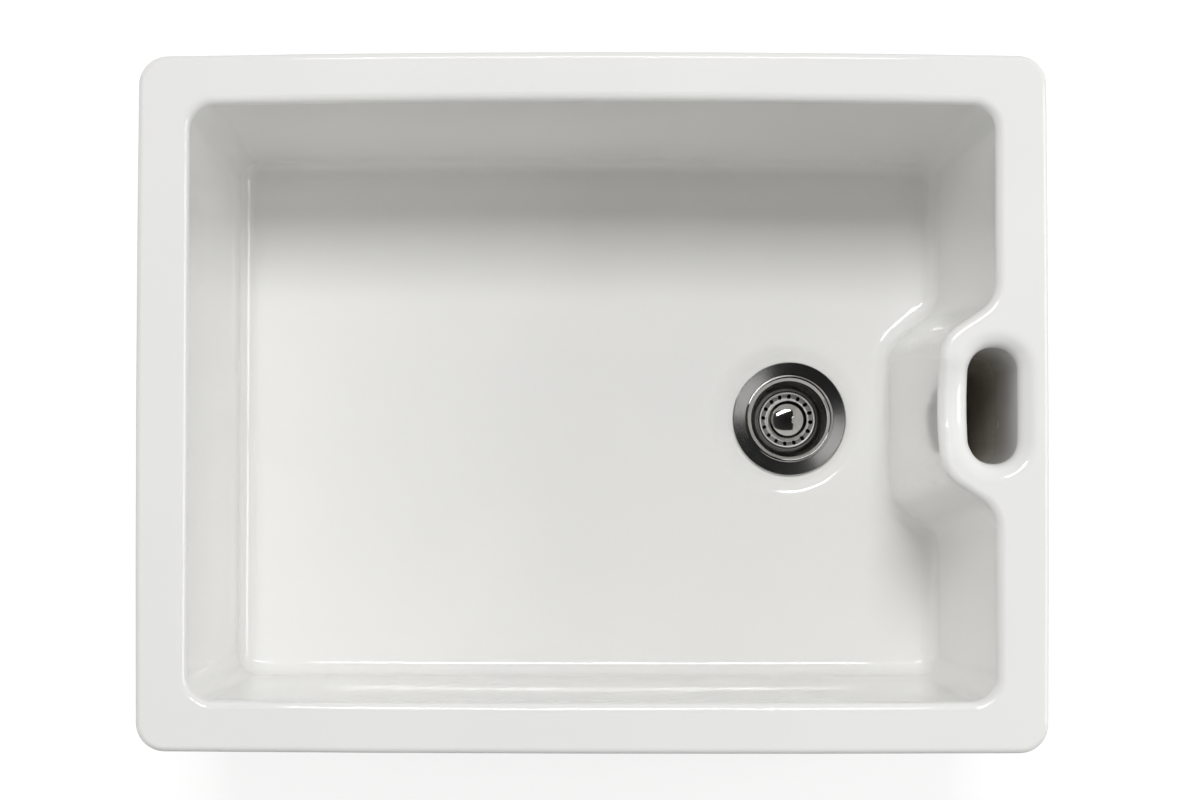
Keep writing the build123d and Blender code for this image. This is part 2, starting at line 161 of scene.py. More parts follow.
def new_finish(name, **constants):
    """A material with its constants on the shader's own sockets: gives it, its tree and its shader."""
    finish = bpy.data.materials.new(name)
    finish.use_nodes = True
    shader = finish.node_tree.nodes["Principled BSDF"]
    for key, value in constants.items():
        shader.inputs[key.replace("_", " ")].default_value = value
    return finish, finish.node_tree, shader


def wire(tree, shader, **links):
    """Links sockets to the shader's inputs by name."""
    for key, socket in links.items():
        tree.links.new(socket, shader.inputs[key.replace("_", " ")])


print("helpers ready")

# %% [markdown]
# ## Floor and bearers
# The sink rests on its underside and its tail hangs 46 mm below that, so it stands on two plain bearers
# above the floor. Neither is part of the sink. Seen by the camera or in a reflection the floor is white,
# but part of it is still a lit matt surface, so the shadow of the sink stays on it.

# %% Stage
FLOOR_LEVEL = -0.060
FLOOR_HALF = 8.0
FLOOR_GLOW = 0.80
BEARERS_X = (-0.20, 0.245)
BEARER_WIDTH, BEARER_LENGTH, BEARER_EDGE = 0.045, 0.40, 0.002


def stage_finish():
    """Matt grey that also glows where the camera or a reflection sees it, up to white."""
    finish, tree, shader = new_finish("stage_white", Base_Color=(0.30, 0.30, 0.30, 1), Roughness=0.9,
                                      Specular_IOR_Level=0.0)
    rays = add(tree, "ShaderNodeLightPath")
    seen = calc(tree, "MAXIMUM", rays.outputs["Is Camera Ray"], rays.outputs["Is Glossy Ray"])
    seen = calc(tree, "MAXIMUM", seen, rays.outputs["Is Transmission Ray"])
    white = add(tree, "ShaderNodeEmission", {"Strength": calc(tree, "MULTIPLY", seen, FLOOR_GLOW)})
    both = add(tree, "ShaderNodeAddShader", {0: shader.outputs[0], 1: white.outputs[0]})
    tree.links.new(both.outputs[0], tree.nodes["Material Output"].inputs["Surface"])
    return finish


def object_from(name, shape, *finishes):
    """Turns a bmesh into an object in the scene, with its materials."""
    mesh = bpy.data.meshes.new(name)
    shape.to_mesh(mesh)
    shape.free()
    for finish in finishes:
        mesh.materials.append(finish)
    thing = bpy.data.objects.new(name, mesh)
    scene.collection.objects.link(thing)
    return thing


stage_white = stage_finish()
shape = bmesh.new()
bmesh.ops.create_grid(shape, x_segments=1, y_segments=1, size=FLOOR_HALF)
bmesh.ops.translate(shape, verts=shape.verts, vec=(0, 0, FLOOR_LEVEL))
object_from("stage_floor", shape, stage_white)
shape = bmesh.new()
for x in BEARERS_X:
    stretch = Matrix.Diagonal((BEARER_WIDTH, BEARER_LENGTH, -FLOOR_LEVEL, 1))
    bmesh.ops.create_cube(shape, size=1.0, matrix=Matrix.Translation((x, 0, FLOOR_LEVEL / 2)) @ stretch)
bmesh.ops.bevel(shape, geom=shape.edges[:], offset=BEARER_EDGE, affect="EDGES", segments=2, profile=0.5,
                material=-1)
object_from("stage_bearers", shape, stage_white)
print("stage floor at", FLOOR_LEVEL)

# %% [markdown]
# ## Light
# One wide soft box hangs high behind the sink: it leaves the foot of the back wall in shade and lights
# the front wall. A second, lower one is seen only in reflections, and draws the thin bright lines along
# the front floor edge and the weir. Two windows fill in from the sides, the right one more. The world is
# two skies: one lights the clay softly from all round, and the other, dark overhead, is what glaze and
# metal mirror, so that polished metal facing up turns dark.

# %% Room light and soft boxes
world = bpy.data.worlds.new("studio")
world.use_nodes = True
scene.world = world
BLUE_SHARE = 0.985
tree = world.node_tree
direction = add(tree, "ShaderNodeTexCoord")
height = add(tree, "ShaderNodeSeparateXYZ", {0: direction.outputs["Generated"]})


def sky(steps):
    """A grey sky from pairs of height (0 at the horizon, 1 overhead) and level."""
    ramp = add(tree, "ShaderNodeValToRGB", {"Fac": height.outputs["Z"]})
    while len(ramp.color_ramp.elements) < len(steps):
        ramp.color_ramp.elements.new(0.5)
    for element, (place, level) in zip(ramp.color_ramp.elements, steps):
        element.position = place
        element.color = (level, level, level * BLUE_SHARE, 1)
    return ramp.outputs["Color"]


room = sky(((0.0, 0.05), (0.35, 0.22), (0.70, 0.61), (1.0, 0.02)))
mirrored = sky(((0.0, 0.95), (0.35, 0.60), (0.62, 0.04), (1.0, 0.015)))
rays = add(tree, "ShaderNodeLightPath")
seen = tint(tree, rays.outputs["Is Glossy Ray"], room, mirrored)
seen = tint(tree, rays.outputs["Is Camera Ray"], seen, (1, 1, 1))
tree.links.new(seen, tree.nodes["Background"].inputs["Color"])


def soft_box(name, place, target, size, power):
    """A rectangular soft box aimed at a point."""
    lamp = bpy.data.lights.new(name, "AREA")
    lamp.shape = "RECTANGLE"
    lamp.size, lamp.size_y = size
    lamp.energy = power
    thing = bpy.data.objects.new(name, lamp)
    thing.location = place
    thing.rotation_euler = (Vector(target) - Vector(place)).to_track_quat("-Z", "Y").to_euler()
    scene.collection.objects.link(thing)
    return thing


# place, target and size in metres, and power in watts
SOFT_BOXES = {
    "soft_box_above": ((-0.05, 2.15, 5.72), (0, 0, 0.1), (1.6, 1.6), 173.0),
    "soft_box_shine": ((0.06, 1.14, 2.80), (0.06, 0, 0.1), (1.15, 0.32), 25.0),
    "window_right": ((2.4, 0.1, 1.35), (0, 0, 0.15), (1.2, 1.0), 19.5),
    "window_left": ((-2.4, 0.1, 1.35), (0, 0, 0.15), (1.2, 1.0), 6.4),
}
boxes = {name: soft_box(name, *row) for name, row in SOFT_BOXES.items()}
for name in ("soft_box_above", "window_left"):
    boxes[name].visible_glossy = False
boxes["soft_box_shine"].visible_diffuse = False
print("soft boxes:", ", ".join(boxes))

# %% [markdown]
# ## Effects that several finishes share
# Turned metal, moulded rubber, fired glaze and handled steel all vary a little over their surface. Four
# node groups make that variation once: turning rings about an axis, soft smudges, scattered specks and a
# two-scale grain. Each finish places them with its own sizes. Scales are in repeats per metre, because
# the groups read Object coordinates in metres.

# %% Shared node groups
FLOAT, VECTOR = "NodeSocketFloat", "NodeSocketVector"


def new_group(name, numbers, output):
    """A group with a Place input, number inputs with their defaults, and one output."""
    group = bpy.data.node_groups.new(name, "ShaderNodeTree")
    group.interface.new_socket("Place", in_out="INPUT", socket_type=VECTOR)
    for label, value in numbers.items():
        group.interface.new_socket(label, in_out="INPUT", socket_type=FLOAT).default_value = value
    group.interface.new_socket(output, in_out="OUTPUT", socket_type=FLOAT)
    given = group.nodes.new("NodeGroupInput").outputs
    return group, given, group.nodes.new("NodeGroupOutput").inputs[output]


def turning_rings():
    """Fine rings left by the tool: random in radius and height, the same all the way round."""
    group, given, result = new_group("turning_rings", {"Rings": 2500.0}, "Height")
    flat = add(group, "ShaderNodeVectorMath", {0: given["Place"], 1: (1, 1, 0)}, operation="MULTIPLY")
    radius = add(group, "ShaderNodeVectorMath", {0: flat.outputs[0]}, operation="LENGTH")
    level = add(group, "ShaderNodeSeparateXYZ", {0: given["Place"]})
    along = calc(group, "MULTIPLY_ADD", level.outputs["Z"], 0.83, radius.outputs["Value"])
    rings = add(group, "ShaderNodeTexNoise", {"W": along, "Scale": given["Rings"], "Detail": 3.0},
                noise_dimensions="1D")
    group.links.new(rings.outputs["Fac"], result)
    return group


def soft_smudges():
    """Cloudy patches from handling and drying, 0 where clean."""
    group, given, result = new_group("soft_smudges", {"Scale": 40.0, "Cover": 0.5}, "Smudge")
    cloud = noise(group, given["Place"], given["Scale"], detail=4.0, roughness=0.6)
    start = calc(group, "SUBTRACT", 0.75, calc(group, "MULTIPLY", given["Cover"], 0.5))
    group.links.new(ease(group, cloud, start, calc(group, "ADD", start, 0.2)), result)
    return group


def scattered_specks():
    """Small round specks in a share of the cells of a Voronoi pattern."""
    inputs = {"Cells": 60.0, "Size": 0.1, "Share": 0.1}
    group, given, result = new_group("scattered_specks", inputs, "Speck")
    cells = add(group, "ShaderNodeTexVoronoi", {"Vector": given["Place"], "Scale": given["Cells"]})
    dice = add(group, "ShaderNodeSeparateColor", {0: cells.outputs["Color"]})
    chosen = calc(group, "LESS_THAN", dice.outputs["Red"], given["Share"])
    size = calc(group, "MULTIPLY", given["Size"], calc(group, "ADD", dice.outputs["Green"], 0.35))
    dot = ease(group, cells.outputs["Distance"], calc(group, "MULTIPLY", size, 0.55), size, 1.0, 0.0)
    group.links.new(calc(group, "MULTIPLY", dot, chosen), result)
    return group


def two_scale_grain():
    """A coarse and a fine grain added together, for moulded and fired surfaces."""
    inputs = {"Coarse": 300.0, "Fine": 1500.0, "Mix": 0.4}
    group, given, result = new_group("two_scale_grain", inputs, "Grain")
    coarse = noise(group, given["Place"], given["Coarse"], detail=2.0)
    fine = noise(group, given["Place"], given["Fine"], detail=2.0)
    mixed = add(group, "ShaderNodeMix", {"Factor": given["Mix"], "A": coarse, "B": fine})
    group.links.new(mixed.outputs[0], result)
    return group


EFFECTS = {group.name: group for group in
           (turning_rings(), soft_smudges(), scattered_specks(), two_scale_grain())}


def effect(tree, name, place, **numbers):
    """Places one of the shared groups in a material; gives its output."""
    node = add(tree, "ShaderNodeGroup", node_tree=EFFECTS[name])
    tree.links.new(place, node.inputs["Place"])
    for label, value in numbers.items():
        node.inputs[label].default_value = value
    return node.outputs[0]


def on_object(tree, centre=(0, 0, 0)):
    """Object coordinates, with a Mapping node that puts the given point at the middle."""
    coordinates = add(tree, "ShaderNodeTexCoord")
    if not any(centre):
        return coordinates.outputs["Object"]
    shift = add(tree, "ShaderNodeMapping", {"Vector": coordinates.outputs["Object"],
                                            "Location": [-value for value in centre]})
    return shift.outputs["Vector"]


print("shared effects:", ", ".join(EFFECTS))

# %% [markdown]
# ## White glaze over fireclay
# The bowl is fireclay under a thick opaque white glaze. A fired glaze is never optically flat: it has slow
# waves that make a highlight wander, a very fine orange-peel, a faint warm mottle and a rare iron speck.
# It stops a few millimetres above the underside, and runs thin down the overflow, where the buff clay
# shows. Painting those parts needs no image: Object coordinates say how high a point is and whether it
# lies in the overflow shaft, and noise makes the edge of the glaze irregular.

# %% Glaze
SHAFT_LOW, SHAFT_HIGH = (0.2465, -0.0402), (0.2790, 0.0362)
GLAZE_EDGE, EDGE_WANDER, EDGE_SOFT = 0.0045, 0.006, 0.0004
THIN_GLAZE, THIN_BELOW, THINNEST, RUN_WANDER = 0.5, 0.235, 0.120, 0.05
HIDDEN_BELOW = 0.033
INSIDE_X, INSIDE_Y = 0.285, 0.205


def between(tree, value, low, high):
    """1 where the value lies between two limits."""
    above = calc(tree, "GREATER_THAN", value, low)
    return calc(tree, "MULTIPLY", above, calc(tree, "LESS_THAN", value, high))


def bare_clay(tree, place, ragged):
    """1 on the underside and in the hidden ducts, fading in part way down the overflow shaft."""
    axis = add(tree, "ShaderNodeSeparateXYZ", {0: place}).outputs
    edge = total(tree, GLAZE_EDGE - EDGE_WANDER / 2, (ragged, EDGE_WANDER))
    under = ease(tree, calc(tree, "SUBTRACT", axis["Z"], edge), -EDGE_SOFT, EDGE_SOFT, 1.0, 0.0)
    ducts = calc(tree, "MULTIPLY", between(tree, axis["X"], -INSIDE_X, INSIDE_X),
                 between(tree, axis["Y"], -INSIDE_Y, INSIDE_Y))
    ducts = calc(tree, "MULTIPLY", ducts, calc(tree, "LESS_THAN", axis["Z"], HIDDEN_BELOW))
    shaft = calc(tree, "MULTIPLY", between(tree, axis["X"], SHAFT_LOW[0], SHAFT_HIGH[0]),
                 between(tree, axis["Y"], SHAFT_LOW[1], SHAFT_HIGH[1]))
    runs = total(tree, -RUN_WANDER / 2, (ragged, RUN_WANDER))
    thin = ease(tree, calc(tree, "ADD", axis["Z"], runs), THINNEST, THIN_BELOW, THIN_GLAZE, 0.0)
    return calc(tree, "MAXIMUM", calc(tree, "MAXIMUM", under, ducts), calc(tree, "MULTIPLY", shaft, thin))


glaze, tree, shader = new_finish("fired_glaze", Specular_IOR_Level=0.5)
place = on_object(tree)
ragged = noise(tree, place, 50.0, detail=2.0)
clay = bare_clay(tree, place, ragged)
mottle = ease(tree, noise(tree, place, 9.0, detail=1.0), 0.35, 0.65)
white = tint(tree, mottle, (0.880, 0.877, 0.864), (0.892, 0.888, 0.870))
speck = effect(tree, "scattered_specks", place, Cells=55.0, Size=0.024, Share=0.05)
white = tint(tree, calc(tree, "MULTIPLY", speck, 0.7), white, (0.42, 0.36, 0.29))
grog = effect(tree, "scattered_specks", place, Cells=420.0, Size=0.42, Share=0.35)
fired = tint(tree, ragged, (0.48, 0.40, 0.30), (0.68, 0.60, 0.48))
fired = tint(tree, calc(tree, "MULTIPLY", grog, 0.6), fired, (0.36, 0.28, 0.20))
gloss = total(tree, 0.05, (mottle, 0.03))
rough = add(tree, "ShaderNodeMix", {"Factor": clay, "A": gloss, "B": 0.84}).outputs[0]
waves = bump(tree, noise(tree, place, 16.0, detail=0.0), 0.00010)
peel = bump(tree, noise(tree, place, 420.0, detail=0.0), 0.0000030, waves)
sand = bump(tree, noise(tree, place, 700.0, detail=1.0), 0.0006, peel, strength=clay)
wire(tree, shader, Base_Color=tint(tree, clay, white, fired), Roughness=rough, Normal=sand)
print("white glaze over buff clay")

# %% [markdown]
# ## Metals of the waste
# The flange is finished with a brush that goes round and round, so its scratches are circles. Light
# spreads across the scratches, which makes two bright wedges on opposite sides and leaves the rest dark.
# The Principled shader does this when it is anisotropic, with a tangent that points away from the axis.
# The lip is polished chrome, and below it the funnel's chrome is painted nearly black: painted shade for
# the deep funnel. The pressed strainer has the satin of its sheet, and its knob is polished stainless
# steel.

# %% Chrome and steel
waste_low, waste_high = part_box("waste_body")
WASTE_AXIS = ((waste_low[0] + waste_high[0]) / 2, (waste_low[1] + waste_high[1]) / 2, 0.0)


def brushed_flange():
    """Metal brushed in circles: the tangent points away from the axis, across the scratches."""
    finish, tree, shader = new_finish("brushed_flange", Metallic=1.0, Anisotropic=0.5)
    place = on_object(tree, WASTE_AXIS)
    rings = effect(tree, "turning_rings", place, Rings=3200.0)
    smudge = effect(tree, "soft_smudges", place, Scale=55.0, Cover=0.45)
    colour = tint(tree, rings, (0.44, 0.435, 0.425), (0.56, 0.555, 0.545))
    rough = total(tree, 0.125, (smudge, 0.04), (rings, 0.05))
    away = add(tree, "ShaderNodeVectorMath", {0: place, 1: (1, 1, 0)}, operation="MULTIPLY")
    away = add(tree, "ShaderNodeVectorMath", {0: away.outputs[0]}, operation="NORMALIZE")
    wire(tree, shader, Base_Color=colour, Roughness=rough, Tangent=away.outputs[0],
         Normal=bump(tree, rings, 0.000004))
    return finish


def polished_metal(name, dark, light, gloss, rings):
    """Metal polished bright: faint tool rings, a few fine scratches and soft drying marks."""
    finish, tree, shader = new_finish(name, Metallic=1.0)
    place = on_object(tree, WASTE_AXIS)
    turned = effect(tree, "turning_rings", place, Rings=rings)
    smudge = effect(tree, "soft_smudges", place, Scale=70.0, Cover=0.4)
    stretch = add(tree, "ShaderNodeMapping", {"Vector": place, "Rotation": (0.3, 0.2, 0.7),
                                              "Scale": (1, 24, 6)})
    scratch = ease(tree, noise(tree, stretch.outputs["Vector"], 130.0, detail=2.0), 0.68, 0.76)
    rough = total(tree, gloss, (smudge, 0.07), (scratch, 0.10))
    wire(tree, shader, Base_Color=tint(tree, smudge, light, dark), Roughness=rough,
         Normal=bump(tree, turned, 0.0000015))
    return finish


flange_finish = brushed_flange()
chrome = polished_metal("polished_chrome", (0.50, 0.49, 0.475), (0.58, 0.57, 0.56), 0.07, 1800.0)
# Nearly black chrome for the inside of the funnel below the lip: painted shade, for the light that hardly
# reaches down there.
funnel_painted_shade = polished_metal("funnel_painted_shade", (0.08, 0.075, 0.068), (0.14, 0.134, 0.126), 0.11, 1800.0)
bright_steel = polished_metal("bright_stainless", (0.56, 0.55, 0.52), (0.66, 0.65, 0.63), 0.08, 2200.0)
satin_steel = polished_metal("satin_stainless", (0.76, 0.75, 0.72), (0.88, 0.87, 0.84), 0.50, 1400.0)
print("flange brushed about", tuple(round(v, 4) for v in WASTE_AXIS))

# %% [markdown]
# ## Plain turned metals
# The backnut and the stem nut are bar brass, faced on a lathe and left to tarnish. The stem and the plate
# that backs the seal are turned stainless. The clip under the stem guide is stamped spring steel with a
# dark phosphate coat. They share one recipe: tool rings in the bump, and a slow stain that dulls and
# darkens.

# %% Brass, turned stainless and spring steel
def turned_metal(name, clean, stained, gloss, rings, depth, cover):
    """Metal left as the lathe left it: tool rings, with a stain and small spots that dull it."""
    finish, tree, shader = new_finish(name, Metallic=1.0)
    place = on_object(tree, WASTE_AXIS)
    turned = effect(tree, "turning_rings", place, Rings=rings)
    stain = effect(tree, "soft_smudges", place, Scale=90.0, Cover=cover)
    spots = effect(tree, "scattered_specks", place, Cells=900.0, Size=0.35, Share=0.12)
    dull = strongest(tree, (stain, 0.8), (spots, 0.6))
    rough = total(tree, gloss, (turned, 0.10), (dull, 0.22))
    wire(tree, shader, Base_Color=tint(tree, dull, clean, stained), Roughness=rough,
         Normal=bump(tree, turned, depth))
    return finish


plain_brass = turned_metal("bar_brass", (0.74, 0.53, 0.26), (0.43, 0.28, 0.13), 0.20, 1500.0, 0.000012, 0.5)
stainless = turned_metal("turned_stainless", (0.62, 0.61, 0.59), (0.47, 0.46, 0.44), 0.22, 1900.0,
                         0.000010, 0.3)
spring_steel = turned_metal("phosphated_spring_steel", (0.30, 0.30, 0.31), (0.16, 0.15, 0.15), 0.38, 700.0,
                            0.000006, 0.7)
print("plain metals:", plain_brass.name, stainless.name, spring_steel.name)

# %% [markdown]
# ## Rubber and plastics
# The washers and the seal are moulded black rubber with a grey bloom. The slip washer is natural nylon, a
# little translucent, and the stem guide is grey acetal with the fine spark texture of its mould.

# %% Rubber, nylon and acetal
def moulded(name, deep, pale, gloss, coarse, fine, depth, **constants):
    """Rubber or plastic from a mould: two grains in the bump, and a pale bloom with flecks."""
    finish, tree, shader = new_finish(name, **constants)
    place = on_object(tree, WASTE_AXIS)
    grain = effect(tree, "two_scale_grain", place, Coarse=coarse, Fine=fine, Mix=0.5)
    bloom = effect(tree, "soft_smudges", place, Scale=75.0, Cover=0.55)
    fleck = effect(tree, "scattered_specks", place, Cells=700.0, Size=0.3, Share=0.08)
    shade = strongest(tree, (bloom, 0.7), (fleck, 0.5))
    rough = total(tree, gloss, (grain, 0.10), (bloom, 0.12))
    wire(tree, shader, Base_Color=tint(tree, shade, deep, pale), Roughness=rough,
         Normal=bump(tree, grain, depth))
    return finish


rubber = moulded("moulded_rubber", (0.022, 0.022, 0.023), (0.070, 0.068, 0.065), 0.62, 500.0, 2600.0,
                 0.00006)
nylon = moulded("natural_nylon", (0.78, 0.77, 0.72), (0.84, 0.83, 0.80), 0.36, 180.0, 1400.0, 0.00002,
                Subsurface_Weight=0.10, Subsurface_Scale=0.002)
acetal = moulded("grey_acetal", (0.27, 0.28, 0.29), (0.35, 0.36, 0.37), 0.42, 900.0, 3200.0, 0.00003)
print("moulded:", rubber.name, nylon.name, acetal.name)

# %% [markdown]
# ## The waste body, turned from a profile
# The real waste is a brass casting turned on a lathe, and its tail carries a 1 1/2 inch pipe thread. The
# CAD draws that thread as a plain cylinder, so here the body is made again the way a lathe makes it: half
# its section is drawn as a chain of edges, its corners are rounded by a vertex bevel, and the chain is
# spun about the axis. A holding point beside each rounding keeps the long sides shaded flat.

# %% Spin the body
MM = 0.001
SPIN_STEPS = 128
HOLD, LONG_SIDE = 0.00025, 0.003
SHANK, UPPER_BORE, TAIL_BORE = 23.15, 19.2, 20.0
SHANK_END, TAIL_FOOT = -11.5, -45.5
SLOT_LOW, SLOT_HIGH = 5.0, 11.5
VALLEY, FLANGE_EDGE, FUNNEL_TOP = 32.7, 42.5, 39.7
# radius, height and corner rounding, from the shank up over the flange and down the bore
BODY_SECTION = [
    (SHANK, SHANK_END, 0), (SHANK, SLOT_LOW, 0), (SHANK, SLOT_HIGH, 0), (SHANK, 23.5, 0.8),
    (30.3, 38.5, 0.8), (30.3, 40.5, 0), (41.4, 40.5, 0), (41.4, 39.6, 0),
    (FLANGE_EDGE, 39.6, 0.15), (FLANGE_EDGE, 42.0, 0.75),
    (VALLEY, 41.0, 1.5), (31.2, 41.8, 1.5), (28.3, FUNNEL_TOP, 2.0), (21.7, 25.5, 2.0), (21.7, 16.5, 0.3),
    (17.0, 14.0, 0.3), (17.0, SLOT_HIGH, 0.2), (UPPER_BORE, SLOT_HIGH, 0), (UPPER_BORE, SLOT_LOW, 0),
    (UPPER_BORE, -7.0, 0), (TAIL_BORE, -7.0, 0), (TAIL_BORE, -12.0, 0), (20.9, -12.0, 0), (20.9, -13.2, 0),
    (TAIL_BORE, -13.2, 0), (TAIL_BORE, TAIL_FOOT, 0.2), (22.2, TAIL_FOOT, 0),
]


def in_place(radius, height):
    """The point of the section at a radius and height in millimetres."""
    return Vector((WASTE_AXIS[0] + radius * MM, WASTE_AXIS[1], height * MM))


def toward(here, end, distance):
    """The point at a distance from here on the way to an end."""
    return here + (end - here).normalized() * distance


def chain_of(shape, section, segments=6):
    """Draws an open section as a chain of edges and rounds its corners."""
    places = [in_place(radius, height) for radius, height, _ in section]
    points, corners = [shape.verts.new(places[0])], []
    for before, here, after, (_, _, rounding) in zip(places, places[1:], places[2:], section[1:]):
        reach = rounding * MM / math.tan((before - here).angle(after - here) / 2)
        if rounding and (before - here).length > LONG_SIDE:
            points.append(shape.verts.new(toward(here, before, reach + HOLD)))
        points.append(shape.verts.new(here))
        if rounding:
            corners.append((points[-1], reach))
        if rounding and (after - here).length > LONG_SIDE:
            points.append(shape.verts.new(toward(here, after, reach + HOLD)))
    points.append(shape.verts.new(places[-1]))
    for first, second in zip(points, points[1:]):
        shape.edges.new((first, second))
    for point, reach in corners:
        bmesh.ops.bevel(shape, geom=[point], offset=reach, affect="VERTICES", segments=segments,
                        profile=0.5, material=-1)


def spin_round(shape, steps, rise=0.0):
    """Spins a chain once about the axis. A turn that rises is left open, and a level one is closed."""
    bmesh.ops.spin(shape, geom=shape.verts[:] + shape.edges[:], cent=WASTE_AXIS, axis=(0, 0, 1),
                   dvec=(0, 0, rise / steps), angle=2 * math.pi, steps=steps, use_merge=not rise)


waste = bmesh.new()
chain_of(waste, BODY_SECTION)
spin_round(waste, SPIN_STEPS)
print("spun body:", len(waste.faces), "faces")

# %% [markdown]
# ### Overflow slots
# Water from the weir comes down the duct in the clay and enters the waste through four slots in its wall.
# The spun wall is two rows of quads there, one inside and one outside, so a slot is made by deleting a
# run of quads from both rows and bridging the two holes.

# %% Cut the slots
SLOTS = 4
SLOT_HALF_TURN = math.radians(25.4)
BESIDE = 0.1


def polar(point):
    """Radius in millimetres and angle of a point about the waste's axis."""
    across = point - Vector(WASTE_AXIS)
    return across.xy.length / MM, math.atan2(across.y, across.x)


def off_slot(angle, slot):
    """How far an angle is from the middle of a slot."""
    turn = angle - slot * 2 * math.pi / SLOTS
    return abs(math.atan2(math.sin(turn), math.cos(turn)))


def in_slot(face, slot):
    """Whether a face of the inner or outer wall lies in a slot."""
    middle = face.calc_center_median()
    radius, angle = polar(middle)
    on_wall = abs(radius - SHANK) < BESIDE or abs(radius - UPPER_BORE) < BESIDE
    return on_wall and SLOT_LOW < middle.z / MM < SLOT_HIGH and off_slot(angle, slot) < SLOT_HALF_TURN


def open_edges(low, high):
    """Edges of holes in the body whose middle lies between two levels."""
    return [edge for edge in waste.edges if edge.is_boundary
            and low < (edge.verts[0].co.z + edge.verts[1].co.z) / 2 / MM < high]


for slot in range(SLOTS):
    bmesh.ops.delete(waste, geom=[face for face in waste.faces if in_slot(face, slot)], context="FACES")
    bmesh.ops.bridge_loops(waste, edges=open_edges(SLOT_LOW - BESIDE, SLOT_HIGH + BESIDE))
print("slots cut:", SLOTS)

# %% [markdown]
# ### Pipe thread on the tail
# A thread is one groove wound round a cylinder. One pitch of it, a crest, a flank, a root and the next
# flank, is spun once round with a small rise at each step, so that the turn ends where the next begins.
# Copies of that turn are stacked and welded. Two cutting planes trim the ends, and bridges close them onto
# the body: a run-out under the nut, and a chamfer at the end of the tail.

# %% Wind the thread
TAIL_TOP, TAIL_END = -12.4, -44.6
PITCH, CREST, ROOT = 2.309, 23.9, 22.42
FLAT, FLANK, THREAD_ROUND = 0.385, 0.77, 0.12
THREAD_TURNS, THREAD_STEPS = 17, 96
NEAR, WELD, CUT_SNAP = 0.01, 0.0000005, 0.0000001
# one pitch of the thread: radius, height above its start, and corner rounding
thread_form = [(CREST, 0, 0), (CREST, FLAT, THREAD_ROUND), (ROOT, FLAT + FLANK, THREAD_ROUND),
               (ROOT, 2 * FLAT + FLANK, THREAD_ROUND), (CREST, PITCH, 0)]
thread_start = TAIL_END - PITCH
thread = bmesh.new()
chain_of(thread, [(radius, thread_start + height, rounding) for radius, height, rounding in thread_form])
spin_round(thread, THREAD_STEPS, PITCH * MM)
one_turn = thread.verts[:] + thread.edges[:] + thread.faces[:]
for turn in range(1, THREAD_TURNS):
    copy = bmesh.ops.duplicate(thread, geom=one_turn)["geom"]
    bmesh.ops.translate(thread, verts=[v for v in copy if isinstance(v, bmesh.types.BMVert)],
                        vec=(0, 0, turn * PITCH * MM))
bmesh.ops.remove_doubles(thread, verts=thread.verts[:], dist=NEAR * MM)


def trim(level, above):
    """Cuts the wound thread at a level and clears one side."""
    bmesh.ops.bisect_plane(thread, geom=thread.verts[:] + thread.edges[:] + thread.faces[:],
                           dist=CUT_SNAP, plane_co=(0, 0, level * MM), plane_no=(0, 0, 1),
                           clear_outer=above, clear_inner=not above)


trim(TAIL_TOP, True)
trim(TAIL_END, False)
wound = bpy.data.meshes.new("wound_thread")
thread.to_mesh(wound)
thread.free()
waste.from_mesh(wound)
bpy.data.meshes.remove(wound)
bmesh.ops.bridge_loops(waste, edges=open_edges(TAIL_TOP - NEAR, SHANK_END + NEAR))
bmesh.ops.bridge_loops(waste, edges=open_edges(TAIL_FOOT - NEAR, TAIL_END + NEAR))
bmesh.ops.remove_doubles(waste, verts=waste.verts[:], dist=WELD)
bmesh.ops.recalc_face_normals(waste, faces=waste.faces[:])
still_open = sum(edge.is_boundary for edge in waste.edges)
print("thread wound:", len(waste.faces), "faces, open edges:", still_open)

# %% [markdown]
# ### Three finishes on one piece
# The body is shaded smooth, with a crease wherever two faces meet at more than 32 degrees. Each face then
# takes one of three finishes, by where it lies and which way it faces: brushed on top of the flange,
# nearly black chrome painted as shade on the inside below the lip, and chrome everywhere else.

# %% Finish the turned body
SHARP = math.radians(32)
FLANGE_LOW, FACING_UP = 40.9, 0.3


def shade_turned(shape):
    """Shades a turned shape smooth, with a crease where two faces meet sharply."""
    for face in shape.faces:
        face.smooth = True
    for edge in shape.edges:
        edge.smooth = edge.calc_face_angle(0) < SHARP


def finish_of(face):
    """0 for chrome, 1 for the brushed flange and 2 for the inside below the lip, painted dark as shade."""
    middle = face.calc_center_median()
    if polar(middle)[0] > VALLEY and middle.z > FLANGE_LOW * MM and face.normal.z > FACING_UP:
        return 1
    faces_axis = face.normal.xy.dot((middle - Vector(WASTE_AXIS)).xy) < 0
    return 2 if faces_axis and middle.z < FUNNEL_TOP * MM else 0


shade_turned(waste)
for face in waste.faces:
    face.material_index = finish_of(face)
turned_waste = object_from("turned_waste", waste, chrome, flange_finish, funnel_painted_shade)
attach(turned_waste, "sink")
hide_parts("waste_body")
print("turned waste:", len(turned_waste.data.polygons), "faces")

# %% [markdown]
# ## The knob, polished on the lathe
# The knob is turned from bar and polished while it still spins, which softens the edge of its head and
# flattens the dome a little. The whole sink shows small in it: a dark square of ceiling, ringed by walls.
# It is spun from its section as the waste was, and takes its place and width from the CAD knob.

# %% Spin the knob
knob_low, knob_high = (Vector(corner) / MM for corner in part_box("strainer_knob"))
HEAD, FOOT, NECK = (knob_high.x - knob_low.x) / 2, 6.5, 4.2
FOOT_RISE, NECK_RISE, KNOB_RIM, DOME_RISE = 1.2, 2.1, 2.6, 5.2
KNOB_SEGMENTS = 20
dome = (HEAD**2 + DOME_RISE**2) / (2 * DOME_RISE)
rim_top = knob_high.z - DOME_RISE
